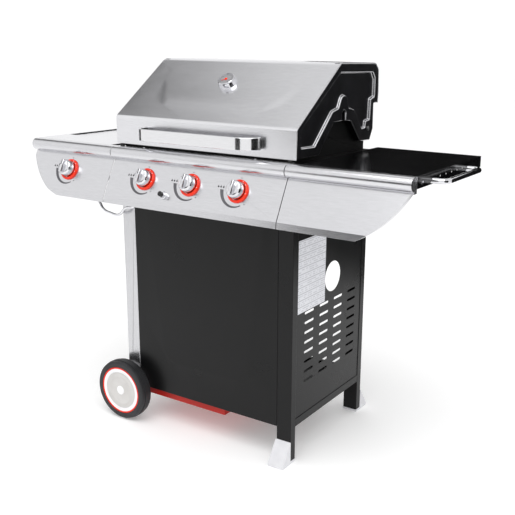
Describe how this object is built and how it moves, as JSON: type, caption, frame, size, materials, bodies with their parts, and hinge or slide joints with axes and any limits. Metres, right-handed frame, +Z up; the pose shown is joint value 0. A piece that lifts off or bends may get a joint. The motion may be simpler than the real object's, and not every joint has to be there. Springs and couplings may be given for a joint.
{
  "type": "gas barbecue grill",
  "caption": "Cart gas grill with hinged steel lid, control knobs, side shelves, side burner under a flush cover, louvred side panels, wheels, feet and a bottle tray.",
  "frame": {"origin": "on the ground under the middle of the whole grill's bounding box", "axes": "+Z up, +X towards the right shelf and its handle seen from the front, +Y towards the back"},
  "size_m": [1.3992, 0.6058, 1.1597],
  "materials": {
    "stainless": "brushed stainless steel sheet, fine straight grain",
    "black_paint": "satin black powder coat on steel",
    "black_enamel": "black heat-resisting paint, dull",
    "cast_aluminium": "die-cast aluminium, dark grey, slightly grainy",
    "red_paint": "red powder coat on steel",
    "red_plastic": "glossy red moulded plastic",
    "tyre_plastic": "dark grey moulded tyre, matt",
    "hub_plastic": "light grey moulded plastic",
    "chrome": "bright chrome plating",
    "steel": "zinc-plated or plain steel",
    "cast_iron": "matt black enamelled cast iron",
    "brass": "machined brass",
    "black_plastic": "black moulded plastic",
    "card": "printed card with plain ruled lines",
    "dial": "satin printed dial"
  },
  "bodies": {
    "root": {"bottle_tray": "red_paint", "bottom_shelf": "black_paint", "burner_tubes": "steel", "control_panel_centre": "stainless", "control_panel_left": "stainless", "control_panel_right": "stainless", "cooking_grates": "cast_iron", "data_card": "card", "firebox": "black_enamel", "firebox_end_left": "black_enamel", "firebox_end_right": "black_enamel", "foot_front_right": "hub_plastic", "foot_rear_right": "hub_plastic", "front_panel": "black_paint", "gas_manifold": "steel", "gas_valves": "brass", "heat_tents": "steel", "hinge_pins": "steel", "igniter_collar": "chrome", "knob_bezels": "red_plastic", "leg_front_left": "stainless", "leg_front_right": "black_paint", "leg_rear_left": "stainless", "leg_rear_right": "black_paint", "pan_support": "cast_iron", "rear_crossbars": "black_paint", "screws": "steel", "shelf_left": "stainless", "shelf_right": "black_paint", "side_burner": "brass", "side_burner_well": "black_enamel", "side_handle": "chrome", "side_panel_left": "black_paint", "side_panel_right": "black_paint", "tool_hook": "chrome", "wheel_axle": "steel"},
    "lid": {"lid_skin": "stainless", "lid_side_left": "cast_aluminium", "lid_side_right": "cast_aluminium", "lid_handle": "stainless", "lid_handle_ends": "black_plastic", "gauge_case": "chrome", "gauge_dial": "dial"},
    "front_wheel": {"wheel_front_tyre": "tyre_plastic", "wheel_front_hub": "hub_plastic", "wheel_front_ring": "red_plastic"},
    "rear_wheel": {"wheel_rear_tyre": "tyre_plastic", "wheel_rear_hub": "hub_plastic", "wheel_rear_ring": "red_plastic"},
    "igniter": {"igniter_button": "black_plastic"},
    "burner_cover": {"side_burner_lid": "stainless"},
    "grease_tray": {"drip_tray": "black_enamel"},
    "stem_side": {"valve_stem_side": "brass"},
    "dial_knob_side": {"knob_side": "chrome"},
    "stem_left": {"valve_stem_left": "brass"},
    "dial_knob_left": {"knob_left": "chrome"},
    "stem_middle": {"valve_stem_middle": "brass"},
    "dial_knob_middle": {"knob_middle": "chrome"},
    "stem_right": {"valve_stem_right": "brass"},
    "dial_knob_right": {"knob_right": "chrome"}
  },
  "joints": [
    {"name": "lid_hinge", "type": "hinge", "parent": "root", "child": "lid", "pos_m": [-0.02985, 0.20886, 0.96], "axis": [-1, 0, 0], "range_deg": [0, 88]},
    {"name": "front_wheel_spin", "type": "hinge", "parent": "root", "child": "front_wheel", "pos_m": [-0.33785, -0.23714, 0.1], "axis": [0, 1, 0], "continuous": true},
    {"name": "rear_wheel_spin", "type": "hinge", "parent": "root", "child": "rear_wheel", "pos_m": [-0.33785, 0.27986, 0.1], "axis": [0, 1, 0], "continuous": true},
    {"name": "igniter_push", "type": "slide", "parent": "root", "child": "igniter", "axis": [0, 0.8928, -0.4504], "range_m": [0, 0.005], "stiffness_N_per_m": 600, "springref_m": -0.002},
    {"name": "burner_cover_hinge", "type": "hinge", "parent": "root", "child": "burner_cover", "pos_m": [-0.54585, 0.20886, 0.8915], "axis": [-1, 0, 0], "range_deg": [0, 100]},
    {"name": "drip_tray_slide", "type": "slide", "parent": "root", "child": "grease_tray", "axis": [0, 1, 0], "range_m": [0, 0.3]},
    {"name": "knob_side_push", "type": "slide", "parent": "root", "child": "stem_side", "axis": [0, 0.8928, -0.4504], "range_m": [0, 0.003], "stiffness_N_per_m": 1500, "springref_m": -0.002},
    {"name": "knob_side_turn", "type": "hinge", "parent": "stem_side", "child": "dial_knob_side", "pos_m": [-0.51885, -0.25586, 0.814], "axis": [0, -0.8928, 0.4504], "range_deg": [0, 215]},
    {"name": "knob_left_push", "type": "slide", "parent": "root", "child": "stem_left", "axis": [0, 0.8928, -0.4504], "range_m": [0, 0.003], "stiffness_N_per_m": 1500, "springref_m": -0.002},
    {"name": "knob_left_turn", "type": "hinge", "parent": "stem_left", "child": "dial_knob_left", "pos_m": [-0.19885, -0.25586, 0.814], "axis": [0, -0.8928, 0.4504], "range_deg": [0, 215]},
    {"name": "knob_middle_push", "type": "slide", "parent": "root", "child": "stem_middle", "axis": [0, 0.8928, -0.4504], "range_m": [0, 0.003], "stiffness_N_per_m": 1500, "springref_m": -0.002},
    {"name": "knob_middle_turn", "type": "hinge", "parent": "stem_middle", "child": "dial_knob_middle", "pos_m": [-0.02985, -0.25586, 0.814], "axis": [0, -0.8928, 0.4504], "range_deg": [0, 215]},
    {"name": "knob_right_push", "type": "slide", "parent": "root", "child": "stem_right", "axis": [0, 0.8928, -0.4504], "range_m": [0, 0.003], "stiffness_N_per_m": 1500, "springref_m": -0.002},
    {"name": "knob_right_turn", "type": "hinge", "parent": "stem_right", "child": "dial_knob_right", "pos_m": [0.13915, -0.25586, 0.814], "axis": [0, -0.8928, 0.4504], "range_deg": [0, 215]}
  ]
}
